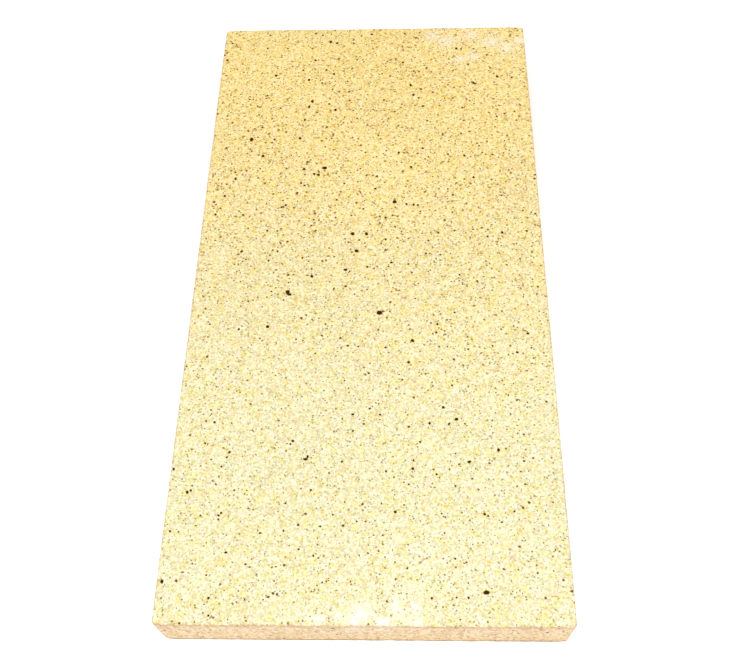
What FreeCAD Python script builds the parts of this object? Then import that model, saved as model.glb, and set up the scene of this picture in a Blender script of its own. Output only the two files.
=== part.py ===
import FreeCAD, Part
import os

import Sketcher

# A flat refractory firebrick: one pressed and fired fireclay slab, lying on its bed face.
# Frame: X across the width, Y along the length, Z up, origin at the centre of the bed face.

NODE = "firebrick_slab"

# Driving dimensions in millimetres
SIZES = [
    ("slab_length", 400.0, "long edge, along Y"),
    ("slab_width", 200.0, "short edge, along X"),
    ("slab_thickness", 30.0, "bed face to top face"),
    ("corner_radius", 2.0, "rounding of the four upright corners"),
    ("arris_radius", 0.8, "rounding of the edges around the bed and top faces"),
]

FLAT_TOLERANCE = 1e-6


def add_size_sheet(doc):
    """Put each driving dimension in a cell of its own, with an alias to bind to."""
    sheet = doc.addObject("Spreadsheet::Sheet", "Sizes")
    for row, (alias, value, note) in enumerate(SIZES, start=1):
        sheet.set(f"A{row}", alias)
        sheet.set(f"B{row}", str(value))
        sheet.set(f"C{row}", note)
        sheet.setAlias(f"B{row}", alias)
    doc.recompute()
    return sheet


def origin_plane(body, role):
    """The body's own origin plane with this role."""
    return next(plane for plane in body.Origin.OriginFeatures if plane.Role == role)


def draw_plan(body, sheet):
    """Rectangle of the slab seen from above, centred on the origin."""
    plan = body.newObject("Sketcher::SketchObject", "Plan")
    plan.AttachmentSupport = [(origin_plane(body, "XY_Plane"), "")]
    plan.MapMode = "FlatFace"

    half_width = sheet.slab_width / 2
    half_length = sheet.slab_length / 2
    corners = [
        FreeCAD.Vector(-half_width, -half_length, 0),
        FreeCAD.Vector(half_width, -half_length, 0),
        FreeCAD.Vector(half_width, half_length, 0),
        FreeCAD.Vector(-half_width, half_length, 0),
    ]
    for start, end in zip(corners, corners[1:] + corners[:1]):
        plan.addGeometry(Part.LineSegment(start, end), False)
    front, right, back, left = range(4)

    for side, next_side in zip((front, right, back, left), (right, back, left, front)):
        plan.addConstraint(Sketcher.Constraint("Coincident", side, 2, next_side, 1))
    for side in (front, back):
        plan.addConstraint(Sketcher.Constraint("Horizontal", side))
    for side in (right, left):
        plan.addConstraint(Sketcher.Constraint("Vertical", side))
    # The front-left and back-right corners mirror each other through the origin
    plan.addConstraint(Sketcher.Constraint("Symmetric", front, 1, right, 2, -1, 1))

    width = plan.addConstraint(Sketcher.Constraint("DistanceX", front, 1, front, 2, 2 * half_width))
    length = plan.addConstraint(Sketcher.Constraint("DistanceY", right, 1, right, 2, 2 * half_length))
    plan.setExpression(f"Constraints[{width}]", "Sizes.slab_width")
    plan.setExpression(f"Constraints[{length}]", "Sizes.slab_length")
    return plan


def edge_names(shape, wanted):
    """Names of the edges for which wanted(edge's box) holds."""
    return [f"Edge{number}" for number, edge in enumerate(shape.Edges, start=1) if wanted(edge.BoundBox)]


def is_upright(box):
    """A straight edge along Z has no spread across X or Y."""
    return box.XLength < FLAT_TOLERANCE and box.YLength < FLAT_TOLERANCE


def is_level(box):
    """An edge around the bed or top face has no spread along Z."""
    return box.ZLength < FLAT_TOLERANCE


def round_edges(doc, body, base, name, wanted, size_alias):
    """Fillet the wanted edges of the body's last feature by the radius in the sheet."""
    fillet = body.newObject("PartDesign::Fillet", name)
    fillet.Base = (base, edge_names(base.Shape, wanted))
    fillet.setExpression("Radius", f"Sizes.{size_alias}")
    doc.recompute()
    return fillet


def build_slab(doc, sheet):
    """Press the plan to its thickness, then ease the upright corners and the arrises."""
    body = doc.addObject("PartDesign::Body", "Slab")
    body.Label = NODE

    pressed = body.newObject("PartDesign::Pad", "Pressed")
    pressed.Profile = draw_plan(body, sheet)
    pressed.setExpression("Length", "Sizes.slab_thickness")
    doc.recompute()

    corners = round_edges(doc, body, pressed, "UprightCorners", is_upright, "corner_radius")
    round_edges(doc, body, corners, "Arrises", is_level, "arris_radius")
    return body


def check(doc):
    """Stop unless every feature recomputed and every shape is sound."""
    for item in doc.Objects:
        if "Invalid" in item.State or "Error" in item.State:
            raise RuntimeError(f"{item.Label} did not recompute: {item.State}")
        shape = getattr(item, "Shape", None)
        if item.isDerivedFrom("PartDesign::Feature") or item.isDerivedFrom("PartDesign::Body"):
            if shape is None or shape.isNull() or not shape.isValid():
                raise RuntimeError(f"{item.Label} has no sound shape")


def main():
    """Build the document, check it and write the slab's solid."""
    doc = FreeCAD.newDocument("Firebrick")
    sheet = add_size_sheet(doc)
    slab = build_slab(doc, sheet)
    doc.recompute()
    check(doc)

    os.makedirs("parts", exist_ok=True)
    slab.Shape.exportStep(f"parts/{slab.Label}.step")
    print(f"{slab.Label}: {slab.Shape.Volume / 1000:.1f} cm3, {len(slab.Shape.Faces)} faces")


main()
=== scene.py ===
"""Looks of a flat refractory firebrick: one pressed and fired fireclay slab lying on its bed face.

The slab is one closed surface. A profile of its edge is carried round its outline, and two grids close
the top face and the bed face. Grain, pits and worn arrises are worked into that surface, and the speckle
of the clay is a procedural finish. Sizes are in millimetres unless a name or a note says otherwise.
"""

import logging
import math
from dataclasses import dataclass
from enum import Enum
from typing import Any

import bpy
import numpy as np
from mathutils import Matrix, Vector


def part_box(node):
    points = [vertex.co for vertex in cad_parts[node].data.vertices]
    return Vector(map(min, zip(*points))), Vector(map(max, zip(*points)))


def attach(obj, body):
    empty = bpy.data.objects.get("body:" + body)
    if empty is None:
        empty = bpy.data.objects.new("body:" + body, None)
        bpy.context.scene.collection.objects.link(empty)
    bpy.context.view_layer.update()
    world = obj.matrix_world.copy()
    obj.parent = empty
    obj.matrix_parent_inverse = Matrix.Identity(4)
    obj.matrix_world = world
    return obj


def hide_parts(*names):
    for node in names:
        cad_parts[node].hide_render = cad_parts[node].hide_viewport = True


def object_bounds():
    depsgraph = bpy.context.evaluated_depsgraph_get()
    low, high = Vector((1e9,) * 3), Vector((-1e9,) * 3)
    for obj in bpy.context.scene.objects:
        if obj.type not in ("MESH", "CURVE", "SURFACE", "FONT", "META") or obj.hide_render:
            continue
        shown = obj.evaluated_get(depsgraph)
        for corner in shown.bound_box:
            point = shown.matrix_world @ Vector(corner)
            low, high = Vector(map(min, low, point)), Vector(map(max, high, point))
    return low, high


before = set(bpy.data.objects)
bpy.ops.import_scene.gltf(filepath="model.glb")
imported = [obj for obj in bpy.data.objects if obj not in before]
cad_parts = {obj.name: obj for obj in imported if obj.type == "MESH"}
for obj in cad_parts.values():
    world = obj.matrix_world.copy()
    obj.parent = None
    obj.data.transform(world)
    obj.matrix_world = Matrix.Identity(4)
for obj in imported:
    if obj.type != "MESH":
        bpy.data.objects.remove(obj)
CAD_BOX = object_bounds()

NODE = "firebrick_slab"
BODY = "root"
MM = 0.001

LOG = logging.getLogger("firebrick")

Colour = tuple[float, float, float]
Point = tuple[float, float, float]
Span = tuple[float, float]
Socket = bpy.types.NodeSocket

# Random fractions of cells: a prime for each axis and for the seed, and how the bits are stirred.
AXIS_PRIMES = (73856093, 19349663, 83492791)
SEED_PRIME = 7919
STIR_FACTOR = 0x45D9F3B
STIR_SHIFT = 16
STIR_ROUNDS = 2
LOW_BITS = 0xFFFFFFFF

# Middle of every noise from 0 to 1, and of the scale of the clay's tones.
MIDDLE = 0.5

# What more than one finish uses: worn brown clay, and the stain that iron leaves in the clay round it.
UMBER = (0.400, 0.262, 0.150)
IRON_STAIN = (0.300, 0.150, 0.002)
IRON_STAIN_SHARE = 0.90


def cell_random(cells: np.ndarray, seed: int) -> np.ndarray:
    """Even random fraction for each whole-numbered cell.

    Formula: three primes weigh the cell's indices, and rounds of shift, exclusive-or and multiply stir
    the sum, whose 32 bits are then read as a fraction.

    Args:
        cells: Whole-numbered indices, with x, y and z on the last axis.
        seed: Number that sets one pattern apart from another.

    Returns:
        Fractions from 0 to 1, one for each cell.
    """
    stirred = (cells.astype(np.int64) * AXIS_PRIMES).sum(-1) + SEED_PRIME * seed
    stirred &= LOW_BITS
    for _ in range(STIR_ROUNDS):
        stirred = ((stirred ^ (stirred >> STIR_SHIFT)) * STIR_FACTOR) & LOW_BITS
    return (stirred ^ (stirred >> STIR_SHIFT)) / (LOW_BITS + 1)


def smooth_noise(points: np.ndarray, cell: float, seed: int) -> np.ndarray:
    """Soft lumps about one cell apart.

    Formula: the random fractions of a cell's eight corners, weighed by smooth steps of the point's place
    inside the cell along x, y and z.

    Args:
        points: Places in millimetres, with x, y and z on the last axis.
        cell: Side of a cell in millimetres.
        seed: Number that sets one pattern apart from another.

    Returns:
        Fractions from 0 to 1, one for each point.
    """
    scaled = points / cell
    base = np.floor(scaled)
    inside = scaled - base
    eased = inside * inside * (3.0 - 2.0 * inside)
    total = np.zeros(points.shape[:-1])
    for corner in np.ndindex(2, 2, 2):
        weights = np.where(np.array(corner) == 1, eased, 1.0 - eased)
        total += weights.prod(-1) * cell_random(base + corner, seed)
    return total


def scattered_bowls(points: np.ndarray, cell: float, radius: float, share: float, seed: int) -> np.ndarray:
    """Depth, from 0 to 1, of round bowls strewn at random.

    Formula: each cell holds one bowl's middle at a random place. A bowl reaches from half its radius to
    the whole, and is one minus the squared distance over that reach, all squared, deep.

    Args:
        points: Places in millimetres, with x, y and z on the last axis.
        cell: Side of the cells that hold one middle each.
        radius: Largest reach of a bowl.
        share: Share of the cells that hold a bowl at all.
        seed: Number that sets one pattern apart from another.

    Returns:
        The deepest bowl at each point.
    """
    base = np.floor(points / cell)
    deepest = np.zeros(points.shape[:-1])
    for offset in np.ndindex(3, 3, 3):
        home = base + offset - 1.0
        middle = np.stack([cell_random(home, seed + axis) for axis in range(3)], -1)
        away = np.linalg.norm(points - (home + middle) * cell, axis=-1)
        reach = radius * (0.5 + 0.5 * cell_random(home, seed + 3))
        bowl = np.clip(1.0 - (away / reach) ** 2, 0.0, None) ** 2
        deepest = np.maximum(deepest, bowl * (cell_random(home, seed + 4) < share))
    return deepest


@dataclass(frozen=True)
class BakeIsland:
    """Where one face of the slab lies on its bake map.

    The corner is in map units, the scale in map units for each millimetre, and the two directions are
    those of the map's u and v in the slab's frame.
    """

    corner: tuple[float, float]
    scale: float
    u_along: Point
    v_along: Point

    def place(self, points: np.ndarray, half: np.ndarray) -> np.ndarray:
        """Map places of points measured from the slab's middle.

        Formula: the point's share along each direction, counted from the face's low end, times the scale.

        Args:
            points: Places from the middle of the slab, in millimetres.
            half: Half sizes of the slab.

        Returns:
            Pairs of u and v.
        """
        axes = np.array([self.u_along, self.v_along])
        from_low_end = points @ axes.T + np.abs(axes) @ half
        return np.array(self.corner) + self.scale * from_low_end


# Map units to a millimetre. The map is laid out for a slab twice as long as it is wide, whose length nearly
# fills it, and the bed face is drawn half as large as the others.
MAP_FILL = 0.98
FULL = MAP_FILL * MM / (CAD_BOX[1][1] - CAD_BOX[0][1])
HALF = FULL / 2.0


class Face(Enum):
    """The six faces of the slab, each with its island on the bake map."""

    TOP = BakeIsland((0.005, 0.010), FULL, (1, 0, 0), (0, 1, 0))
    BED = BakeIsland((0.672, 0.505), HALF, (-1, 0, 0), (0, 1, 0))
    FRONT = BakeIsland((0.672, 0.005), FULL, (0, 0, 1), (1, 0, 0))
    RIGHT = BakeIsland((0.505, 0.010), FULL, (0, 0, 1), (0, 1, 0))
    BACK = BakeIsland((0.756, 0.005), FULL, (0, 0, 1), (-1, 0, 0))
    LEFT = BakeIsland((0.588, 0.010), FULL, (0, 0, 1), (0, -1, 0))

    @property
    def number(self) -> int:
        """Place of the face among the six."""
        return list(Face).index(self)


@dataclass(frozen=True)
class Mark:
    """One mark on the top face: where its middle lies, and how far it reaches along x and y."""

    x: float
    y: float
    half_x: float
    half_y: float


@dataclass(frozen=True)
class DustPatch:
    """Smears of white dust that lie together, with how much of the clay they cover at the most."""

    cover: float
    smears: tuple[Mark, ...]


# The larger spots and, below them, the dust patches. Their places were read off the photograph and
# carried onto the top face with its solved camera. Their half sizes were set by comparing renders with it.
IRON_SPOTS = (
    Mark(58.4, -183.6, 1.5, 0.9), Mark(6.0, -26.4, 1.6, 1.2), Mark(7.9, -25.2, 0.9, 0.5),
    Mark(-46.1, -12.4, 1.1, 1.4), Mark(-45.1, -14.0, 1.2, 0.9), Mark(-31.0, -115.0, 1.2, 0.7),
    Mark(-30.0, -113.6, 0.6, 0.8), Mark(14.1, 51.9, 1.2, 1.1), Mark(-7.8, 16.1, 1.1, 1.0),
    Mark(-13.8, 2.8, 1.0, 0.9), Mark(-2.2, 28.3, 0.9, 1.0), Mark(-10.4, 28.4, 1.0, 1.1),
    Mark(-28.8, 78.7, 1.4, 1.1), Mark(-32.3, 73.2, 0.9, 0.9), Mark(24.2, -44.6, 1.0, 0.9),
    Mark(46.8, -92.3, 0.9, 0.8), Mark(67.8, -109.8, 0.8, 0.9), Mark(40.1, -85.4, 0.7, 0.7),
    Mark(-90.0, -133.2, 0.7, 0.8), Mark(52.6, -116.4, 0.9, 0.8), Mark(-75.5, 102.1, 1.1, 1.4),
    Mark(-82.9, 70.6, 0.8, 0.9), Mark(49.8, -186.1, 0.6, 0.6), Mark(-97.2, -179.2, 0.8, 0.9),
    Mark(-23.7, 126.6, 0.9, 1.0), Mark(-38.8, 134.0, 0.9, 1.1), Mark(-33.0, -1.4, 0.8, 0.9),
    Mark(22.0, -58.0, 0.7, 0.7), Mark(0.5, -64.6, 0.6, 0.6), Mark(-97.0, 172.0, 0.8, 0.9),
    Mark(-63.6, 157.3, 0.8, 0.9), Mark(-41.9, 153.2, 0.8, 1.0), Mark(-40.6, 129.4, 0.8, 0.8),
    Mark(-42.8, 118.3, 0.7, 0.9), Mark(-67.4, 88.5, 0.9, 1.0), Mark(-45.1, 102.6, 0.8, 0.9),
    Mark(44.1, -167.1, 0.5, 0.5), Mark(80.1, -128.5, 0.5, 0.5), Mark(-57.5, -170.5, 0.6, 0.5),
    Mark(-45.4, -186.3, 0.8, 0.4), Mark(-73.1, -195.3, 0.5, 0.5), Mark(54.6, 180.2, 0.8, 1.0),
    Mark(64.8, 148.9, 0.8, 0.9), Mark(80.2, 154.5, 0.8, 0.9), Mark(19.2, 168.1, 0.7, 0.8),
    Mark(24.2, 147.6, 0.8, 0.9), Mark(25.9, 138.8, 0.8, 0.8), Mark(-41.3, 77.8, 0.8, 0.9),
    Mark(-39.6, 83.4, 0.7, 0.8), Mark(-34.9, 73.7, 0.7, 0.8), Mark(-52.4, 48.6, 0.7, 0.7),
    Mark(-51.0, 50.0, 0.6, 0.7), Mark(16.5, 90.3, 0.7, 0.8), Mark(24.2, 78.8, 0.8, 0.9),
    Mark(21.2, 50.2, 0.7, 0.7), Mark(25.5, 49.7, 0.6, 0.7), Mark(28.0, 49.2, 0.7, 0.7),
    Mark(76.9, 28.7, 0.7, 0.8), Mark(-71.9, -36.9, 0.7, 0.7), Mark(-56.0, -35.2, 0.8, 0.9),
    Mark(38.0, -34.1, 0.6, 0.7), Mark(37.3, -39.2, 0.6, 0.7), Mark(80.8, -52.0, 0.7, 0.7),
    Mark(-70.4, -111.1, 0.7, 0.6), Mark(-71.6, -114.0, 0.6, 0.5), Mark(-98.4, -120.7, 0.6, 0.8),
    Mark(-66.1, -132.0, 0.6, 0.5), Mark(-88.3, -132.3, 0.5, 0.5), Mark(-38.1, -104.9, 0.7, 0.6),
    Mark(-73.0, -145.5, 0.6, 0.5), Mark(-51.5, -154.7, 0.6, 0.5), Mark(-67.5, -164.6, 0.6, 0.5),
    Mark(-7.5, -89.4, 0.7, 0.6), Mark(7.0, -89.7, 0.6, 0.6), Mark(-7.1, -99.1, 0.5, 0.6),
    Mark(42.8, -95.2, 0.5, 0.7), Mark(27.7, -105.2, 0.6, 0.5), Mark(23.8, -120.3, 0.7, 0.7),
    Mark(35.9, -123.3, 0.5, 0.6), Mark(-27.5, -132.0, 0.5, 0.6), Mark(15.1, -143.4, 0.8, 0.6),
    Mark(-22.0, -151.1, 0.6, 0.5), Mark(80.4, -115.9, 0.6, 0.5), Mark(85.2, -114.3, 0.6, 0.5),
    Mark(81.6, -138.5, 0.6, 0.5), Mark(67.5, -148.5, 0.5, 0.5), Mark(-28.9, 188.0, 0.9, 1.1),
    Mark(-24.6, 186.8, 0.8, 0.9), Mark(-38.4, 170.9, 0.8, 0.9), Mark(-25.8, 158.2, 0.8, 0.9),
)

DUST_PATCHES = (
    DustPatch(
        0.92,
        (
            Mark(-1.5, -194.6, 5.0, 3.8),
            Mark(-4.0, -198.0, 2.6, 1.8),
            Mark(10.0, -197.4, 5.0, 1.8),
            Mark(15.8, -190.8, 2.0, 3.2),
            Mark(24.5, -190.6, 1.8, 2.2),
            Mark(25.5, -197.8, 2.2, 1.6),
            Mark(-11.5, -194.4, 2.2, 1.6),
            Mark(-21.5, -196.6, 3.4, 1.6),
        ),
    ),
    DustPatch(
        0.65,
        (
            Mark(39.0, 191.5, 4.5, 4.0),
            Mark(49.0, 187.5, 5.5, 4.5),
            Mark(64.5, 192.0, 3.5, 4.0),
            Mark(78.0, 186.5, 5.5, 4.5),
            Mark(96.0, 187.0, 3.5, 3.0),
            Mark(57.0, 170.5, 3.5, 3.0),
            Mark(65.0, 172.0, 4.0, 3.0),
            Mark(88.0, 181.0, 5.0, 4.0),
        ),
    ),
)


@dataclass(frozen=True)
class ArrisWear:
    """How the arrises have crumbled: a radius that changes along the edge."""

    least: float = 0.45
    crumb: float = 0.55
    crumb_cell: float = 1.7
    chip: float = 1.5
    chip_cell: float = 6.5
    chip_start: float = 0.66
    corner: float = 0.7
    corner_reach: float = 5.0
    seed: int = 11

    def radius(self, arris: np.ndarray, half: np.ndarray) -> np.ndarray:
        """Rounding of the arris at each of its points.

        Formula: the least radius, plus squared small lumps for crumbs, plus the tops of large lumps for
        chips, plus a bell round each corner.

        Args:
            arris: Points along the sharp arris.
            half: Half sizes of the slab.

        Returns:
            Radius in millimetres at each point.
        """
        crumbs = smooth_noise(arris, self.crumb_cell, self.seed) ** 2
        lumps = smooth_noise(arris, self.chip_cell, self.seed + 1)
        chips = np.clip((lumps - self.chip_start) / (1.0 - self.chip_start), 0.0, 1.0)
        to_corner = np.linalg.norm(half[:2] - np.abs(arris[..., :2]), axis=-1)
        corners = np.exp(-((to_corner / self.corner_reach) ** 2))
        return self.least + self.crumb * crumbs + self.chip * chips + self.corner * corners


@dataclass(frozen=True)
class SurfaceRelief:
    """How far the fired skin lies inside the slab's nominal faces."""

    wave: float = 0.10
    wave_cell: float = 55.0
    lump: float = 0.10
    lump_cell: float = 3.4
    grain: float = 0.08
    grain_cell: float = 1.7
    pit: float = 0.45
    pit_cell: float = 8.0
    pit_radius: float = 2.2
    pit_share: float = 0.45
    spot: float = 0.25
    spot_reach: float = 1.6
    seed: int = 23

    def depth(self, points: np.ndarray, top: float) -> np.ndarray:
        """Depth of the skin below the nominal face.

        Formula: a sum of a long wave, lumps, grains, strewn bowls and a dimple at each iron spot. A dimple
        is one minus the squared distance over its reach deep.

        Args:
            points: Places on the nominal surface.
            top: Height of the top face.

        Returns:
            Depth in millimetres, never negative.
        """
        depth = self.wave * smooth_noise(points, self.wave_cell, self.seed)
        depth += self.lump * smooth_noise(points, self.lump_cell, self.seed + 1)
        depth += self.grain * smooth_noise(points, self.grain_cell, self.seed + 2)
        pits = scattered_bowls(points, self.pit_cell, self.pit_radius, self.pit_share, self.seed + 3)
        depth += self.pit * pits
        for spot in IRON_SPOTS:
            away = np.linalg.norm(points - (spot.x, spot.y, top), axis=-1)
            reach = self.spot_reach * spot.half_x
            depth += self.spot * np.clip(1.0 - (away / reach) ** 2, 0.0, None)
        return depth


class ShaderBench:
    """Short words for building one material's shader nodes."""

    def __init__(self, name: str) -> None:
        """Start a material that holds only its output and its surface shader.

        Args:
            name: Name of the material.
        """
        self.material = bpy.data.materials.new(name)
        self.material.use_nodes = True
        self.tree = self.material.node_tree
        self.tree.nodes.clear()
        self.surface = self.add("ShaderNodeBsdfPrincipled")
        self.add("ShaderNodeOutputMaterial", {"Surface": self.surface.outputs[0]})

    def add(self, kind: str, inputs: dict[str | int, Any] | None = None, **settings: Any) -> bpy.types.Node:
        """Add one node, set it up and wire it.

        Args:
            kind: Blender's name of the node type.
            inputs: What goes into each input: another node's output, or a value to set.
            settings: The node's own settings.

        Returns:
            The node.
        """
        node = self.tree.nodes.new(kind)
        for name, value in settings.items():
            setattr(node, name, value)
        for key, value in (inputs or {}).items():
            self.feed(node.inputs[key], value)
        return node

    def feed(self, socket: Socket, value: Any) -> None:
        """Wire an output to a socket, or set the socket's own value.

        Args:
            socket: The input to feed.
            value: An output, a number, a vector or a colour.
        """
        if isinstance(value, Socket):
            self.tree.links.new(value, socket)
        elif socket.type == "RGBA":
            socket.default_value = (*value, 1.0)
        else:
            socket.default_value = value

    def sum(self, operation: str, first: Any, second: Any = 0.0) -> Socket:
        """Output of a sum on plain numbers, such as ADD or MULTIPLY."""
        return self.add("ShaderNodeMath", {0: first, 1: second}, operation=operation).outputs[0]

    def plus(self, first: Any, second: Any) -> Socket:
        """Total of two numbers."""
        return self.sum("ADD", first, second)

    def times(self, first: Any, second: Any) -> Socket:
        """Product of two numbers."""
        return self.sum("MULTIPLY", first, second)

    def place(self, operation: str, first: Any, second: Any = (0.0, 0.0, 0.0)) -> Socket:
        """Output of a sum on places, such as SUBTRACT or MULTIPLY."""
        return self.add("ShaderNodeVectorMath", {0: first, 1: second}, operation=operation).outputs[0]

    def axis(self, place: Any, letter: str) -> Socket:
        """One coordinate of a place, by its letter."""
        return self.add("ShaderNodeSeparateXYZ", {0: place}).outputs[letter]

    def attribute(self, name: str) -> Socket:
        """Number that the mesh holds under a name at each of its points."""
        return self.add("ShaderNodeAttribute", attribute_name=name).outputs["Fac"]

    def reach(self, place: Any) -> Socket:
        """Distance of a place from zero."""
        return self.add("ShaderNodeVectorMath", {0: place}, operation="LENGTH").outputs["Value"]

    def fade(self, value: Any, start: Any, end: Any) -> Socket:
        """Smooth step of a value from 0 at start to 1 at end.

        Args:
            value: The number to read.
            start: Where the step begins.
            end: Where the step is done, above or below start.

        Returns:
            The step's output.
        """
        inputs = {"Value": value, "From Min": start, "From Max": end}
        return self.add("ShaderNodeMapRange", inputs, interpolation_type="SMOOTHSTEP").outputs[0]

    def mix(self, share: Any, under: Any, over: Any) -> Socket:
        """Colour that goes from under to over by a share.

        Args:
            share: Number from 0 to 1.
            under: Colour at 0.
            over: Colour at 1.

        Returns:
            The mixed colour's output.
        """
        return self.add("ShaderNodeMix", {0: share, 6: under, 7: over}, data_type="RGBA").outputs[2]

    def tint(self, share: Any, under: Any, filter_colour: Any) -> Socket:
        """Colour multiplied by a filter, by a share.

        Args:
            share: Number from 0 to 1.
            under: Colour at 0.
            filter_colour: What the colour is multiplied by at 1.

        Returns:
            The tinted colour's output.
        """
        inputs = {0: share, 6: under, 7: filter_colour}
        return self.add("ShaderNodeMix", inputs, data_type="RGBA", blend_type="MULTIPLY").outputs[2]

    def ramp(self, value: Any, stops: tuple[tuple[float, Colour], ...]) -> Socket:
        """Colour read off a scale of stops.

        Args:
            value: Place on the scale, from 0 to 1.
            stops: Each stop's place and colour, from low to high.

        Returns:
            The colour's output.
        """
        node = self.add("ShaderNodeValToRGB", {0: value})
        scale = node.color_ramp.elements
        while len(scale) < len(stops):
            scale.new(1.0)
        for element, (position, colour) in zip(scale, stops):
            element.position = position
            element.color = (*colour, 1.0)
        return node.outputs[0]

    def noise(self, place: Any, cell: float, detail: float = 1.0, rough: float = 0.5) -> bpy.types.Node:
        """Cloudy noise with lumps about one cell apart.

        Args:
            place: Coordinates in millimetres.
            cell: Size of the lumps in millimetres.
            detail: Number of finer layers.
            rough: Weight of the finer layers.

        Returns:
            The node, whose outputs are a number and a colour.
        """
        inputs = {"Vector": place, "Scale": 1.0 / cell, "Detail": detail, "Roughness": rough}
        return self.add("ShaderNodeTexNoise", inputs, noise_dimensions="3D")

    def grains(self, place: Any, cell: float, blend: float = 0.0) -> bpy.types.Node:
        """Grains packed about one cell apart, each with a random colour.

        Args:
            place: Coordinates in millimetres.
            cell: Size of the grains in millimetres.
            blend: Softness of the borders, 0 for sharp ones.

        Returns:
            The node, with the distance from the grain's middle in cells and its random colour.
        """
        inputs = {"Vector": place, "Scale": 1.0 / cell, "Randomness": 1.0}
        if blend:
            inputs["Smoothness"] = blend
        feature = "SMOOTH_F1" if blend else "F1"
        return self.add("ShaderNodeTexVoronoi", inputs, feature=feature, voronoi_dimensions="3D")

    def lot(self, place: Any) -> Socket:
        """Random colour drawn for a place, the same each time."""
        return self.add("ShaderNodeTexWhiteNoise", {"Vector": place}, noise_dimensions="3D").outputs["Color"]

    def split(self, colour: Any) -> list[Socket]:
        """Red, green and blue of a colour as three numbers."""
        return list(self.add("ShaderNodeSeparateColor", {0: colour}).outputs)[:3]

    def from_mark(self, place: Any, mark: Mark, top: float) -> Socket:
        """Distance from a mark's middle on the top face, where 1 is its rim.

        Formula: the length of the place from the middle, over the half size along x, the half size along
        y and the total of both along z.

        Args:
            place: Coordinates in millimetres.
            mark: The spot or smear.
            top: Height of the top face.

        Returns:
            The distance.
        """
        away = self.place("SUBTRACT", place, (mark.x, mark.y, top))
        shares = (1.0 / mark.half_x, 1.0 / mark.half_y, 1.0 / (mark.half_x + mark.half_y))
        return self.reach(self.place("MULTIPLY", away, shares))

    def nearest(self, place: Any, marks: tuple[Mark, ...], top: float) -> Socket:
        """Distance from the nearest of some marks, where 1 is its rim.

        Args:
            place: Coordinates in millimetres.
            marks: The spots or smears.
            top: Height of the top face.

        Returns:
            The least of the distances.
        """
        least = self.from_mark(place, marks[0], top)
        for mark in marks[1:]:
            least = self.sum("MINIMUM", least, self.from_mark(place, mark, top))
        return least


@dataclass(frozen=True)
class Speckle:
    """Grains strewn through the clay: their spacing, radii, share, faintness, colour and stained rim.

    The growth is how much wider, as a share, the grains show where the clay is bare of dust and in the
    painted shade of the far end. They show at their widest from full_growth of that share on. The core is
    the part of a grain's radius that has its full strength, and a rim stains the clay out to rim_reach
    radii.
    """

    cell: float
    least_radius: float
    most_radius: float
    share: float
    faintness: float
    colour: Colour
    growth: float
    full_growth: float = 0.65
    core: float = 0.7
    rim_share: float = 0.0
    rim_reach: float = 1.6
    rim_colour: Colour = IRON_STAIN

    def lay(self, bench: ShaderBench, place: Any, under: Any, bare_and_shaded: Any) -> tuple[Socket, Socket]:
        """Lay the speckle over a colour.

        Formula: a grain's mask falls from 1 at its core to 0 at its radius. The radius grows with one
        random number of the grain. Another number, raised to the faintness, is its strength.

        Args:
            bench: Bench of the material.
            place: Coordinates in millimetres.
            under: Colour below.
            bare_and_shaded: How bare of dust the clay is, and how far into the painted shade of the far end.

        Returns:
            The new colour, and the mask.
        """
        grains = bench.grains(place, self.cell)
        size, weight, chance = bench.split(bench.lot(grains.outputs["Position"]))
        # Grains grow where the clay is bare of dust and in the painted shade of the far end.
        grown = bench.fade(bare_and_shaded, 0.0, self.full_growth)
        growth = bench.plus(bench.times(grown, self.growth), 1.0)
        away = bench.sum("DIVIDE", grains.outputs["Distance"], growth)
        spread = (self.most_radius - self.least_radius) / self.cell
        radius = bench.plus(bench.times(size, spread), self.least_radius / self.cell)
        inner = bench.times(radius, self.core)
        present = bench.sum("LESS_THAN", chance, self.share)
        strength = bench.times(present, bench.sum("POWER", weight, self.faintness))
        if self.rim_share:
            stained = bench.fade(away, bench.times(radius, self.rim_reach), inner)
            stain = bench.times(bench.times(stained, strength), self.rim_share)
            under = bench.mix(stain, under, self.rim_colour)
        mask = bench.times(bench.fade(away, radius, inner), strength)
        return bench.mix(mask, under, self.colour), mask


@dataclass(frozen=True)
class Blotches:
    """Soft blotches that tint the clay, which spread over the span of a noise from none to the most."""

    cell: float
    shift: Point
    span: Span
    tint: Colour

    def lay(self, bench: ShaderBench, place: Any, under: Any) -> Socket:
        """Tint a colour in blotches.

        Args:
            bench: Bench of the material.
            place: Coordinates in millimetres.
            under: Colour below.

        Returns:
            The tinted colour.
        """
        shifted = bench.place("ADD", place, self.shift)
        noise = bench.noise(shifted, self.cell).outputs[0]
        return bench.tint(bench.fade(noise, *self.span), under, self.tint)


@dataclass(frozen=True)
class DustAndPaintedFalloff:
    """Fine dust over the broad faces, thick at the near end and gone at the far end. The same step also
    paints the fall of light along the length: pale at the near end, shaded at the far end.

    The two ends are places along the length, before clouds shift them by up to cloud_shift.
    """

    # The near end is dusted and painted as lit, the far end bare and painted as shaded.
    dusted_and_lit_to: float = -85.0
    bare_and_shaded_from: float = 245.0
    cloud_cell: float = 60.0
    cloud_shift: float = 120.0

    def bareness_and_shade(self, bench: ShaderBench, place: Any, side: Any) -> Socket:
        """How bare of dust the clay is, and how far it lies into the painted shade of the far end.

        Formula: a smooth step along y, shifted by clouds, and faint on the sides.

        Args:
            bench: Bench of the material.
            place: Coordinates in millimetres.
            side: How much of the side faces' finish shows.

        Returns:
            Number from 0 to 1.
        """
        cloud = bench.noise(place, self.cloud_cell).outputs[0]
        drift = bench.plus(bench.axis(place, "Y"), bench.times(cloud, self.cloud_shift))
        broad = bench.sum("SUBTRACT", 1.0, side)
        return bench.times(bench.fade(drift, self.dusted_and_lit_to, self.bare_and_shaded_from), broad)


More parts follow.
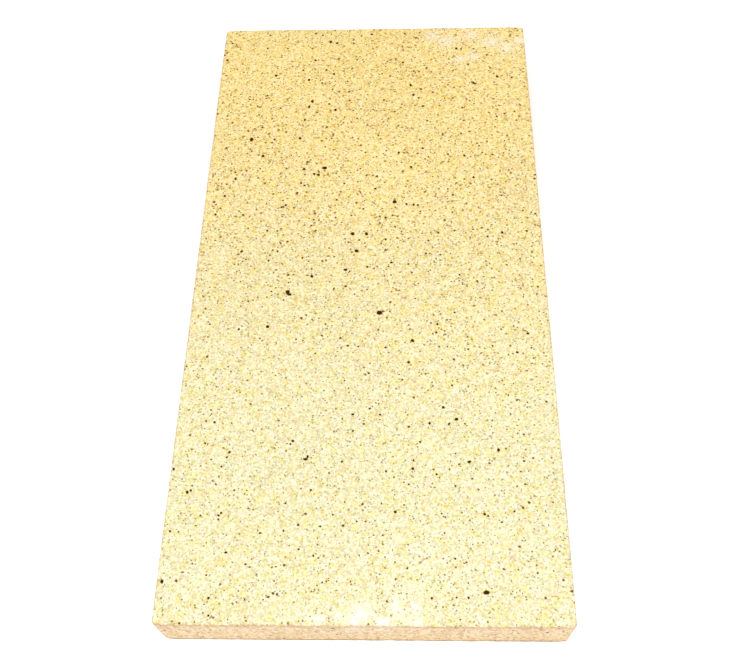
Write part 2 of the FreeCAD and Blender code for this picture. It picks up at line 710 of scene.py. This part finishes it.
@dataclass(frozen=True)
class StrawMatrix:
    """Straw clay with pale and ochre grog, whose grain shows more where it is bare of dust and in the
    painted shade of the far end.

    The tones are its colours from the darkest grains to the palest, each at its place on a scale from 0
    to 1. Each layer of noise has its spacing and its weight.
    """

    tones: tuple[tuple[float, Colour], ...] = (
        (0.20, (0.474, 0.424, 0.233)),
        (0.38, (0.536, 0.502, 0.302)),
        (0.52, (0.584, 0.566, 0.373)),
        (0.66, (0.622, 0.612, 0.428)),
        (0.80, (0.651, 0.645, 0.468)),
    )
    fine_cell: float = 1.05
    fine_weight: float = 1.55
    grog_cell: float = 1.5
    grog_blend: float = 0.3
    grog_weight: float = 0.06
    patch_cell: float = 4.5
    patch_weight: float = 0.05
    cloud_cell: float = 60.0
    cloud_weight: float = 0.13
    bare_and_shaded_contrast: float = 0.28
    rosy: Blotches = Blotches(
        cell=4.0, shift=(7.0, 43.0, 11.0), span=(0.40, 0.66), tint=(1.030, 0.968, 0.970)
    )
    ochre: Blotches = Blotches(
        cell=2.6, shift=(31.0, 17.0, 5.0), span=(0.44, 0.70), tint=(0.995, 0.965, 0.665)
    )

    def colour(self, bench: ShaderBench, place: Any, bare_and_shaded: Any) -> Socket:
        """Colour of the clay before anything lies on it.

        Formula: the tone is the middle, plus each layer of noise less its own middle, weighed and
        stretched by the bareness, which is also the painted shade of the far end. Rosy and ochre blotches
        tint it.

        Args:
            bench: Bench of the material.
            place: Coordinates in millimetres.
            bare_and_shaded: How bare of dust the clay is, and how far into the painted shade of the far end.

        Returns:
            The colour.
        """
        grog = bench.grains(place, self.grog_cell, self.grog_blend).outputs["Color"]
        layers = (
            (bench.noise(place, self.fine_cell).outputs[0], self.fine_weight),
            (bench.split(grog)[0], self.grog_weight),
            (bench.noise(place, self.patch_cell).outputs[0], self.patch_weight),
            (bench.noise(place, self.cloud_cell).outputs[0], self.cloud_weight),
        )
        spread: Any = -MIDDLE * sum(weight for _, weight in layers)
        for layer, weight in layers:
            spread = bench.plus(spread, bench.times(layer, weight))
        # More contrast toward the far end: bare clay there, and painted shade where the near end is washed
        # pale.
        stretch = bench.plus(bench.times(bare_and_shaded, self.bare_and_shaded_contrast), 1.0)
        tone = bench.plus(bench.times(spread, stretch), MIDDLE)
        rosy = self.rosy.lay(bench, place, bench.ramp(tone, self.tones))
        return self.ochre.lay(bench, place, rosy)


@dataclass(frozen=True)
class DraggedSides:
    """Peach sides with brown and pale drag streaks, brown under the arris, and warm at the foot, where a
    painted contact shadow darkens the lowest millimetres.

    A span runs from none of a colour to the most of it, in millimetres above the bed face or in the
    streaks' noise. A cover is that most.
    """

    peach: Colour = (0.595, 0.452, 0.281)
    pale: Colour = (0.680, 0.565, 0.412)
    brown: Colour = UMBER
    foot: Colour = (0.628, 0.432, 0.208)
    # Painted contact shadow: the dark colour of the band where the sides meet the floor.
    painted_foot_shadow: Colour = (0.110, 0.082, 0.058)
    streak_cell: Point = (2.4, 2.4, 3.4)
    streak_detail: float = 4.0
    streak_rough: float = 0.85
    pale_noise: Span = (0.53, 0.64)
    pale_cover: float = 0.90
    brown_noise: Span = (0.52, 0.40)
    brown_cover: float = 0.80
    worn_height: Span = (24.5, 29.0)
    worn_cover: float = 0.60
    foot_height: Span = (13.0, 5.0)
    # Painted contact shadow: from none at 5 mm above the bed face to the most at 0.6 mm.
    painted_shadow_height: Span = (5.0, 0.6)
    painted_shadow_cover: float = 0.95

    def lay(self, bench: ShaderBench, place: Any, under: Any, side: Any) -> Socket:
        """Lay the sides' own clay over a colour, with a painted contact shadow at the foot.

        Args:
            bench: Bench of the material.
            place: Coordinates in millimetres.
            under: Colour of the broad faces.
            side: How much of the side faces' finish shows.

        Returns:
            The colour.
        """
        stretched = bench.place("DIVIDE", place, self.streak_cell)
        streak = bench.noise(stretched, 1.0, self.streak_detail, self.streak_rough).outputs[0]
        height = bench.axis(place, "Z")
        pale = bench.times(bench.fade(streak, *self.pale_noise), self.pale_cover)
        dragged = bench.times(bench.fade(streak, *self.brown_noise), self.brown_cover)
        worn = bench.times(bench.fade(height, *self.worn_height), self.worn_cover)
        brown = bench.sum("MINIMUM", bench.plus(worn, dragged), 1.0)
        # Painted contact shadow, darker towards the bed face.
        painted_foot_shadow = bench.times(bench.fade(height, *self.painted_shadow_height), self.painted_shadow_cover)
        clay = bench.mix(bench.fade(height, *self.foot_height), self.peach, self.foot)
        clay = bench.mix(pale, clay, self.pale)
        clay = bench.mix(brown, clay, self.brown)
        clay = bench.mix(painted_foot_shadow, clay, self.painted_foot_shadow)
        return bench.mix(side, under, clay)


@dataclass(frozen=True)
class WornArrises:
    """Brown crumbs along the arrises, where the skin has worn through."""

    colour: Colour = UMBER
    cell: float = 1.6
    span: Span = (0.44, 0.60)
    cover: float = 0.95

    def lay(self, bench: ShaderBench, place: Any, under: Any) -> Socket:
        """Lay the crumbs over a colour.

        Args:
            bench: Bench of the material.
            place: Coordinates in millimetres.
            under: Colour below.

        Returns:
            The colour.
        """
        crumbs = bench.fade(bench.noise(place, self.cell).outputs[0], *self.span)
        share = bench.times(bench.times(bench.attribute("arris"), crumbs), self.cover)
        return bench.mix(share, under, self.colour)


@dataclass(frozen=True)
class ChalkDust:
    """White dust rubbed on in patches that the grain eats into, each in a thin haze.

    The spans are in distances from a smear's middle, where 1 is its rim, from no dust to the most.
    """

    colour: Colour = (0.715, 0.690, 0.605)
    grain_cell: float = 2.2
    grain_detail: float = 2.0
    grain_rough: float = 0.65
    raggedness: float = 4.0
    ragged_span: Span = (1.7, -0.3)
    smear_span: Span = (2.0, 0.7)
    haze_span: Span = (2.8, 0.8)
    haze_cover: float = 0.20

    def lay(self, bench: ShaderBench, place: Any, under: Any, top: float) -> Socket:
        """Lay the dust patches over a colour.

        Args:
            bench: Bench of the material.
            place: Coordinates in millimetres.
            under: Colour below.
            top: Height of the top face.

        Returns:
            The colour.
        """
        grain = bench.noise(place, self.grain_cell, self.grain_detail, self.grain_rough).outputs[0]
        ragged = bench.times(bench.sum("SUBTRACT", MIDDLE, grain), self.raggedness)
        for patch in DUST_PATCHES:
            near = bench.nearest(place, patch.smears, top)
            eaten = bench.fade(bench.plus(near, ragged), *self.ragged_span)
            smear = bench.times(eaten, bench.fade(near, *self.smear_span))
            haze = bench.times(bench.fade(near, *self.haze_span), self.haze_cover)
            share = bench.times(bench.sum("MAXIMUM", smear, haze), patch.cover)
            under = bench.mix(share, under, self.colour)
        return under


@dataclass(frozen=True)
class IronSpots:
    """The larger iron spots of the top face, each in a stained rim.

    The spans are in distances from a spot's middle, where 1 is its rim, from no colour to the most.
    """

    colour: Colour = (0.022, 0.012, 0.002)
    span: Span = (1.08, 0.85)
    stain: Colour = IRON_STAIN
    stain_span: Span = (1.45, 0.95)
    stain_share: float = IRON_STAIN_SHARE

    def lay(self, bench: ShaderBench, place: Any, under: Any, top: float) -> tuple[Socket, Socket]:
        """Lay the spots over a colour.

        Args:
            bench: Bench of the material.
            place: Coordinates in millimetres.
            under: Colour below.
            top: Height of the top face.

        Returns:
            The colour, and the spots' mask.
        """
        near = bench.nearest(place, IRON_SPOTS, top)
        stain = bench.times(bench.fade(near, *self.stain_span), self.stain_share)
        mask = bench.fade(near, *self.span)
        stained = bench.mix(stain, under, self.stain)
        return bench.mix(mask, stained, self.colour), mask


@dataclass(frozen=True)
class FireclayFinish:
    """Matte fired clay: a speckled straw matrix with browner sides, chalky smears and iron spots.

    The golden tint is what the clay takes on where it is bare of dust, and it also paints the shade of the
    far end, where the light falls off.
    """

    dust_and_falloff: DustAndPaintedFalloff = DustAndPaintedFalloff()
    matrix: StrawMatrix = StrawMatrix()
    sides: DraggedSides = DraggedSides()
    arrises: WornArrises = WornArrises()
    chalk: ChalkDust = ChalkDust()
    spots: IronSpots = IronSpots()
    ochre_grains: Speckle = Speckle(
        cell=2.2,
        least_radius=0.30,
        most_radius=0.75,
        share=0.75,
        faintness=0.8,
        colour=(0.500, 0.368, 0.125),
        growth=0.48,
    )
    tan_dots: Speckle = Speckle(
        cell=1.35,
        least_radius=0.30,
        most_radius=0.61,
        share=0.90,
        faintness=1.7,
        colour=(0.130, 0.076, 0.006),
        growth=0.30,
    )
    dark_specks: Speckle = Speckle(
        cell=2.6,
        least_radius=0.32,
        most_radius=0.69,
        share=0.22,
        faintness=0.20,
        colour=(0.014, 0.006, 0.000),
        growth=0.22,
        rim_share=IRON_STAIN_SHARE,
    )
    # Golden tint: partly bare clay, partly painted shade toward the far end.
    golden_and_shaded: Colour = (1.185, 1.005, 0.710)
    side_cover: float = 0.85
    wobble: float = 1.0
    wobble_cell: float = 1.1
    roughness: float = 0.93
    spot_roughness: float = 0.60
    speck_gloss: float = 0.6
    specular: float = 0.06
    bump: float = 0.4
    bump_height: float = 0.25
    bump_cell: float = 0.8
    bump_detail: float = 3.0
    bump_rough: float = 0.6
    dot_depth: float = 0.4

    def material(self, top: float) -> bpy.types.Material:
        """Build the finish.

        Args:
            top: Height of the slab's top face.

        Returns:
            The material.
        """
        bench = ShaderBench("fireclay")
        coordinates = bench.add("ShaderNodeTexCoord").outputs["Object"]
        place = bench.place("MULTIPLY", coordinates, (1.0 / MM,) * 3)
        wobbled = self.wobbled(bench, place)
        side = bench.times(bench.attribute("side"), self.side_cover)
        # Bareness of dust, which also carries the painted fall of light from the near end to the far end.
        bare_and_shaded = self.dust_and_falloff.bareness_and_shade(bench, place, side)

        colour = self.matrix.colour(bench, place, bare_and_shaded)
        colour, _ = self.ochre_grains.lay(bench, wobbled, colour, bare_and_shaded)
        colour = self.sides.lay(bench, place, colour, side)
        colour, dots = self.tan_dots.lay(bench, wobbled, colour, bare_and_shaded)
        colour, specks = self.dark_specks.lay(bench, wobbled, colour, bare_and_shaded)
        # Painted shade, partly: the far end turns golden as the light falls off; partly it is clay bare of
        # dust.
        colour = bench.tint(bare_and_shaded, colour, self.golden_and_shaded)
        colour = self.arrises.lay(bench, place, colour)
        colour = self.chalk.lay(bench, wobbled, colour, top)
        colour, spots = self.spots.lay(bench, wobbled, colour, top)

        surface = bench.surface.inputs
        bench.feed(surface["Base Color"], colour)
        gloss = bench.sum("MAXIMUM", spots, bench.times(specks, self.speck_gloss))
        smoother = bench.times(gloss, self.spot_roughness - self.roughness)
        bench.feed(surface["Roughness"], bench.plus(smoother, self.roughness))
        bench.feed(surface["Specular IOR Level"], self.specular)
        bench.feed(surface["Normal"], self.relief(bench, place, dots))
        return bench.material

    def wobbled(self, bench: ShaderBench, place: Any) -> Socket:
        """Coordinates shaken a little, which makes round grains ragged.

        Formula: the place plus a noise on each axis, less its middle, times the wobble.

        Args:
            bench: Bench of the material.
            place: Coordinates in millimetres.

        Returns:
            The shaken coordinates.
        """
        noise = bench.noise(place, self.wobble_cell).outputs[1]
        shake = bench.place("SUBTRACT", noise, (MIDDLE,) * 3)
        return bench.place("ADD", place, bench.place("MULTIPLY", shake, (self.wobble,) * 3))

    def relief(self, bench: ShaderBench, place: Any, dots: Any) -> Socket:
        """Fine grain of the skin, below what the mesh can hold, with the tan dots sunk in.

        Args:
            bench: Bench of the material.
            place: Coordinates in millimetres.
            dots: Mask of the tan dots.

        Returns:
            The bumped normal.
        """
        fine = bench.noise(place, self.bump_cell, self.bump_detail, self.bump_rough).outputs[0]
        height = bench.sum("SUBTRACT", fine, bench.times(dots, self.dot_depth))
        inputs = {"Strength": self.bump, "Distance": self.bump_height * MM, "Height": height}
        return bench.add("ShaderNodeBump", inputs).outputs[0]


@dataclass
class FirebrickSlab:
    """The slab as one closed surface: an edge profile carried round the outline, and two face grids.

    The rim is the width of a broad face that the profile covers, and a ratio is how many steps of the rim
    go to one step of a face's grid. The profile's rows are crowded at the arris by the grading.
    """

    low: np.ndarray
    high: np.ndarray
    corner_radius: float = 2.0
    rim: float = 7.0
    steps_across: int = 236
    top_ratio: int = 2
    bed_ratio: int = 4
    rows_on_face: int = 8
    rows_on_side: int = 10
    grading: float = 1.8
    knocked_corner: float = 0.9
    arris_reach: float = 0.7
    side_ramp: float = 0.6
    top_wear: ArrisWear = ArrisWear()
    bed_wear: ArrisWear = ArrisWear(least=1.1, chip=1.2)
    relief: SurfaceRelief = SurfaceRelief()
    finish: FireclayFinish = FireclayFinish()

    def __post_init__(self) -> None:
        """Work out the half sizes, the middle and the steps along the length."""
        self.half = (self.high - self.low) / 2.0
        self.middle = (self.high + self.low) / 2.0
        self.thickness = 2.0 * self.half[2]
        whole = self.top_ratio * self.bed_ratio
        self.steps_along = whole * round(self.steps_across * self.half[1] / self.half[0] / whole)
        self.around = 2 * (self.steps_across + self.steps_along)

    def unit_outline(self) -> np.ndarray:
        """Square outline from -1 to 1, walked from the front left corner with the slab on the left hand.

        Returns:
            Pairs of x and y, one for each step round the slab.
        """
        across = np.linspace(-1.0, 1.0, self.steps_across, endpoint=False)
        along = np.linspace(-1.0, 1.0, self.steps_along, endpoint=False)
        one_across, one_along = np.ones_like(across), np.ones_like(along)
        front = np.stack([across, -one_across], -1)
        right = np.stack([one_along, along], -1)
        back = np.stack([-across, one_across], -1)
        left = np.stack([-one_along, -along], -1)
        return np.concatenate([front, right, back, left])

    def ring(self, inset: np.ndarray, height: np.ndarray) -> np.ndarray:
        """Rounded rectangles inside the slab's outline.

        Formula: the outline shrunk by the inset, where a point near a corner is drawn onto an arc about
        the corner's middle. The arc's radius is the corner radius less the inset. The front left corner
        is knocked at its foot: its radius grows by the cube of the share of the thickness above it.

        Args:
            inset: Distance inside the outline, for each row and step.
            height: Height above the bed face, for each row and step.

        Returns:
            Pairs of x and y for each row and step.
        """
        outline = self.unit_outline()
        reach = self.half[:2] - inset[..., None]
        square = outline * reach
        front_left = (outline < 0.0).all(-1)
        knocked = self.knocked_corner * (1.0 - height / self.thickness) ** 3 * front_left
        radius = np.clip(self.corner_radius + knocked - inset, 0.0, None)[..., None]
        inner = np.clip(square, radius - reach, reach - radius)
        spoke = square - inner
        length = np.linalg.norm(spoke, axis=-1, keepdims=True)
        return inner + spoke * radius / np.where(length > 0.0, length, 1.0)

    def arris_bend(self, run: np.ndarray, radius: np.ndarray) -> tuple[np.ndarray, np.ndarray]:
        """Carry a run across a rounded arris.

        Formula: a run from minus to plus one radius turns through a right angle on an arc. Outside that,
        it lies on the broad face below minus one radius, and on the side above plus one.

        Args:
            run: Distance past the sharp arris, negative on the broad face and positive on the side.
            radius: Radius of the arris.

        Returns:
            Distance inside the outline, and distance from the broad face's plane.
        """
        turn = np.clip(run / radius + 1.0, 0.0, 2.0) * math.pi / 4.0
        inset = np.where(run < -radius, -run, radius * (1.0 - np.sin(turn)))
        drop = np.where(run > radius, run, radius * (1.0 - np.cos(turn)))
        return inset, drop

    def runs(self) -> np.ndarray:
        """Places of the profile's rows, crowded at the arris.

        Formula: the row's share of the reach, raised to the grading.

        Returns:
            Distances past the arris, from the rim on the broad face to half way down the side.
        """
        on_face = self.rim * (np.arange(self.rows_on_face, 0, -1) / self.rows_on_face) ** self.grading
        on_side = self.half[2] * (np.arange(1, self.rows_on_side + 1) / self.rows_on_side) ** self.grading
        return np.concatenate([-on_face, [0.0], on_side])

    def rim_points(self) -> tuple[np.ndarray, np.ndarray, np.ndarray]:
        """The profile carried round the outline, from the top face's rim to the bed face's rim.

        Formula: a row's share of side face is a short ramp across the arris, and its nearness to the
        arris is a bell of its run.

        Returns:
            Points for each row and step, and two shares from 0 to 1 for each row: how much it lies on
            the side, and how near it is to an arris.
        """
        runs = self.runs()
        upper = self.half_profile(runs, self.top_wear, self.high[2], -1.0)
        lower = self.half_profile(runs[:-1], self.bed_wear, self.low[2], 1.0)
        both_runs = np.concatenate([runs, runs[:-1][::-1]])
        side = np.clip(both_runs / self.side_ramp + MIDDLE, 0.0, 1.0)
        arris = np.exp(-((both_runs / self.arris_reach) ** 2))
        return np.concatenate([upper, lower[::-1]]), side, arris

    def half_profile(self, runs: np.ndarray, wear: ArrisWear, level: float, way: float) -> np.ndarray:
        """One half of the rim: a broad face's edge, its arris and half of the side.

        Args:
            runs: Places of the rows.
            wear: Wear of the arris.
            level: Height of the broad face.
            way: 1 where the side rises from the face, and -1 where it falls.

        Returns:
            Points for each row and step.
        """
        level_line = np.full(self.around, level)
        arris = np.column_stack([self.ring(np.zeros(self.around), level_line - self.low[2]), level_line])
        inset, drop = self.arris_bend(runs[:, None], wear.radius(arris, self.half)[None, :])
        height = level + way * drop
        return np.concatenate([self.ring(inset, height - self.low[2]), height[..., None]], -1)

    def face_grid(self, ratio: int, level: float) -> np.ndarray:
        """Even grid inside the rim of a broad face, one cell away from it.

        Args:
            ratio: Steps of the rim to one step of the grid.
            level: Height of the face.

        Returns:
            Points in rows along y and columns along x.
        """
        step = 2.0 * self.half[0] / self.steps_across * ratio
        reach = self.half[:2] - self.rim - step
        columns = np.linspace(-reach[0], reach[0], self.steps_across // ratio + 1)
        rows = np.linspace(-reach[1], reach[1], self.steps_along // ratio + 1)
        x, y = np.meshgrid(columns, rows)
        return np.stack([x, y, np.full_like(x, level)], -1)

    @staticmethod
    def grid_quads(index: np.ndarray) -> np.ndarray:
        """Quads between the neighbours of a grid of vertex numbers, anticlockwise from above."""
        corners = (index[:-1, :-1], index[:-1, 1:], index[1:, 1:], index[1:, :-1])
        return np.stack([corner.ravel() for corner in corners], -1)

    @staticmethod
    def border(index: np.ndarray) -> np.ndarray:
        """Vertex numbers round a grid, in the order of the outline."""
        return np.concatenate([index[0, :-1], index[:-1, -1], index[-1, :0:-1], index[:0:-1, 0]])

    @staticmethod
    def stitch(outer: np.ndarray, inner: np.ndarray, ratio: int) -> np.ndarray:
        """Triangles between a fine ring and a coarse ring inside it.

        Formula: each coarse point fans to the fine steps of the half before the middle, one triangle
        spans the coarse step, and the next coarse point fans to the rest.

        Args:
            outer: Vertex numbers of the fine ring.
            inner: Vertex numbers of the coarse ring.
            ratio: Fine steps to one coarse step.

        Returns:
            Triangles, anticlockwise from above.
        """
        fine = np.append(outer, outer[0])
        start = np.arange(len(inner)) * ratio
        following = np.roll(inner, -1)
        middle = ratio // 2
        fans = [
            np.stack([inner if step < middle else following, fine[start + step], fine[start + step + 1]], -1)
            for step in range(ratio)
        ]
        fans.append(np.stack([inner, fine[start + middle], following], -1))
        return np.concatenate(fans)

    def build(self) -> bpy.types.Object:
        """Make the slab's mesh, sink its relief, and add its shares of side and arris and its bake map.

        Returns:
            The slab's object.
        """
        rim, side, arris = self.rim_points()
        top = self.face_grid(self.top_ratio, self.high[2])
        bed = self.face_grid(self.bed_ratio, self.low[2])
        points = np.concatenate([part.reshape(-1, 3) for part in (rim, top, bed)])

        rim_index = np.arange(rim[..., 0].size).reshape(rim.shape[:2])
        top_index = np.arange(top[..., 0].size).reshape(top.shape[:2]) + rim_index.size
        bed_index = np.arange(bed[..., 0].size).reshape(bed.shape[:2]) + rim_index.size + top_index.size
        closed = np.concatenate([rim_index, rim_index[:, :1]], 1)
        rim_quads = self.grid_quads(closed)[:, ::-1]
        quads = np.concatenate([rim_quads, self.grid_quads(top_index), self.grid_quads(bed_index)[:, ::-1]])
        top_seam = self.stitch(rim_index[0], self.border(top_index), self.top_ratio)
        bed_seam = self.stitch(rim_index[-1], self.border(bed_index), self.bed_ratio)[:, ::-1]

        mesh = bpy.data.meshes.new(NODE)
        mesh.from_pydata((points * MM).tolist(), [], quads.tolist() + top_seam.tolist() + bed_seam.tolist())
        self.sink(mesh, points)
        mesh.shade_smooth()

        for name, share in (("side", side), ("arris", arris)):
            whole = np.zeros(len(points), np.float32)
            whole[: rim_index.size] = np.repeat(share, self.around)
            mesh.attributes.new(name, "FLOAT", "POINT").data.foreach_set("value", whole)
        owners = [
            self.rim_faces(len(rim)),
            np.full(top_index[1:, 1:].size, Face.TOP.number),
            np.full(bed_index[1:, 1:].size, Face.BED.number),
            np.full(len(top_seam), Face.TOP.number),
            np.full(len(bed_seam), Face.BED.number),
        ]
        self.map_for_bake(mesh, points, np.concatenate(owners))

        slab = bpy.data.objects.new("fireclay_slab", mesh)
        bpy.context.scene.collection.objects.link(slab)
        return slab

    def rim_faces(self, rows: int) -> np.ndarray:
        """Which face each quad of the rim belongs to.

        Args:
            rows: Number of rows in the rim.

        Returns:
            The number of a face for each quad, row by row.
        """
        steps = (self.steps_across, self.steps_along, self.steps_across, self.steps_along)
        walls = (Face.FRONT, Face.RIGHT, Face.BACK, Face.LEFT)
        wall_row = np.repeat([wall.number for wall in walls], steps)
        walls_down = np.tile(wall_row, rows - 1 - 2 * self.rows_on_face)
        broad = self.rows_on_face * self.around
        on_top = np.full(broad, Face.TOP.number)
        on_bed = np.full(broad, Face.BED.number)
        return np.concatenate([on_top, walls_down, on_bed])

    def sink(self, mesh: bpy.types.Mesh, points: np.ndarray) -> None:
        """Move each point inwards along its normal by the depth of the relief.

        Args:
            mesh: Mesh of the nominal surface.
            points: Its points in millimetres.
        """
        normals = np.empty(points.size, np.float32)
        mesh.vertices.foreach_get("normal", normals)
        depth = self.relief.depth(points, self.high[2])
        sunk = points - depth[:, None] * normals.reshape(-1, 3)
        mesh.vertices.foreach_set("co", np.clip(sunk, self.low, self.high).ravel() * MM)
        mesh.update()

    def map_for_bake(self, mesh: bpy.types.Mesh, points: np.ndarray, owners: np.ndarray) -> None:
        """Lay the six faces out side by side on the bake map.

        Args:
            mesh: The slab's mesh.
            points: Points of the nominal surface in millimetres.
            owners: Number of the face that each polygon belongs to.
        """
        vertices = np.empty(len(mesh.loops), np.int32)
        counts = np.empty(len(mesh.polygons), np.int32)
        mesh.loops.foreach_get("vertex_index", vertices)
        mesh.polygons.foreach_get("loop_total", counts)
        owner = np.repeat(owners, counts)
        from_middle = points[vertices] - self.middle
        places = np.zeros((len(vertices), 2))
        for face in Face:
            mine = owner == face.number
            places[mine] = face.value.place(from_middle[mine], self.half)
        layer = mesh.uv_layers.new(name="OFBake")
        layer.data.foreach_set("uv", places.astype(np.float32).ravel())

    def dress(self, slab: bpy.types.Object) -> None:
        """Give the slab its finish, and let it stand for its solid.

        Args:
            slab: The slab's object.
        """
        slab.data.materials.append(self.finish.material(self.high[2]))
        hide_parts(NODE)
        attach(slab, BODY)


@dataclass
class StudioFloor:
    """A wide pale floor under the slab. Sizes in metres."""

    half_size: float = 8.0
    drop: float = 0.00005
    colour: Colour = (0.90, 0.90, 0.90)
    roughness: float = 1.0
    specular: float = 0.0

    def build(self) -> bpy.types.Object:
        """Make the floor with its matte finish.

        Returns:
            The floor's object.
        """
        reach = self.half_size
        corners = [(-reach, -reach), (reach, -reach), (reach, reach), (-reach, reach)]
        mesh = bpy.data.meshes.new("floor")
        mesh.from_pydata([(x, y, -self.drop) for x, y in corners], [], [(0, 1, 2, 3)])
        bench = ShaderBench("floor_white")
        bench.feed(bench.surface.inputs["Base Color"], self.colour)
        bench.feed(bench.surface.inputs["Roughness"], self.roughness)
        bench.feed(bench.surface.inputs["Specular IOR Level"], self.specular)
        mesh.materials.append(bench.material)
        floor = bpy.data.objects.new("floor", mesh)
        bpy.context.scene.collection.objects.link(floor)
        return floor


@dataclass
class SoftBox:
    """One large soft lamp, aimed at a point. Sizes in metres, power in watts."""

    name: str
    place: Point
    aim: Point
    width: float
    height: float
    power: float
    colour: Colour

    def build(self) -> bpy.types.Object:
        """Hang the lamp.

        Returns:
            The lamp's object.
        """
        lamp = bpy.data.lights.new(self.name, "AREA")
        lamp.shape = "RECTANGLE"
        lamp.size = self.width
        lamp.size_y = self.height
        lamp.energy = self.power
        lamp.color = self.colour
        box = bpy.data.objects.new(self.name, lamp)
        box.location = self.place
        box.rotation_euler = (Vector(self.aim) - Vector(self.place)).to_track_quat("-Z", "Y").to_euler()
        bpy.context.scene.collection.objects.link(box)
        return box


@dataclass
class StudioLight:
    """Bright, even light all round, with a lamp over the near end of the slab."""

    sky: Colour = (1.0, 0.985, 0.94)
    sky_strength: float = 1.065
    boxes: tuple[SoftBox, ...] = (
        SoftBox(
            name="near_lamp",
            place=(0.0, -0.62, 0.85),
            aim=(0.0, -0.12, 0.0),
            width=0.9,
            height=0.6,
            power=8.4,
            colour=(1.0, 1.0, 1.15),
        ),
    )

    def build(self) -> list[bpy.types.Object]:
        """Light the world and hang the lamps.

        Returns:
            The lamps' objects.
        """
        world = bpy.data.worlds.new("studio")
        world.use_nodes = True
        sky = world.node_tree.nodes["Background"]
        sky.inputs["Color"].default_value = (*self.sky, 1.0)
        sky.inputs["Strength"].default_value = self.sky_strength
        bpy.context.scene.world = world
        bpy.context.scene.view_settings.view_transform = "Standard"
        return [box.build() for box in self.boxes]


@dataclass
class PhotoCamera:
    """Camera at the photograph's place.

    Its pixel sizes are those of the photograph's frame, its angles are in degrees, and the nearest and
    farthest distances that it sees are in metres.
    """

    frame_width_px: float = 748.0
    focal_px: float = 938.8
    centre_drop_px: float = 40.0
    aim: Point = (3.4, -63.0, 30.0)
    distance: float = 505.0
    azimuth: float = -3.66
    elevation: float = 60.97
    roll: float = -3.29
    sensor: float = 36.0
    nearest: float = 0.01
    farthest: float = 100.0

    def build(self) -> bpy.types.Object:
        """Place the camera and make it the scene's own.

        Formula: the view direction comes from azimuth and elevation, and the roll turns the level right
        and up directions about it.

        Returns:
            The camera's object.
        """
        turn, rise, roll = (math.radians(angle) for angle in (self.azimuth, self.elevation, self.roll))
        ahead = Vector((math.cos(rise) * math.sin(turn), math.cos(rise) * math.cos(turn), -math.sin(rise)))
        level_right = ahead.cross(Vector((0.0, 0.0, 1.0))).normalized()
        level_up = level_right.cross(ahead)
        right = math.cos(roll) * level_right + math.sin(roll) * level_up
        up = math.cos(roll) * level_up - math.sin(roll) * level_right
        place = (Vector(self.aim) - self.distance * ahead) * MM

        lens = bpy.data.cameras.new("photo_camera")
        lens.sensor_width = self.sensor
        lens.lens = self.sensor * self.focal_px / self.frame_width_px
        lens.shift_y = self.centre_drop_px / self.frame_width_px
        lens.clip_start = self.nearest
        lens.clip_end = self.farthest
        camera = bpy.data.objects.new("photo_camera", lens)
        axes = Matrix((right, up, -ahead)).transposed().to_4x4()
        camera.matrix_world = Matrix.Translation(place) @ axes
        bpy.context.scene.collection.objects.link(camera)
        bpy.context.scene.camera = camera
        return camera


def main() -> None:
    """Build and dress the slab, then set it on the studio floor before the camera."""
    logging.basicConfig(level=logging.INFO, format="%(name)s: %(message)s")
    low, high = (np.array(corner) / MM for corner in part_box(NODE))
    brick = FirebrickSlab(low, high)
    slab = brick.build()
    brick.dress(slab)
    LOG.info("%s: %d points, %d faces", slab.name, len(slab.data.vertices), len(slab.data.polygons))

    floor = StudioFloor().build()
    LOG.info("%s lies at %s", floor.name, tuple(round(part, 5) for part in floor.data.vertices[0].co))
    for lamp in StudioLight().build():
        LOG.info("%s hangs at %s", lamp.name, tuple(round(part, 3) for part in lamp.location))
    camera = PhotoCamera().build()
    stand = camera.matrix_world.translation
    LOG.info("%s stands at %s", camera.name, tuple(round(part, 4) for part in stand))


if __name__ == "__main__":
    main()
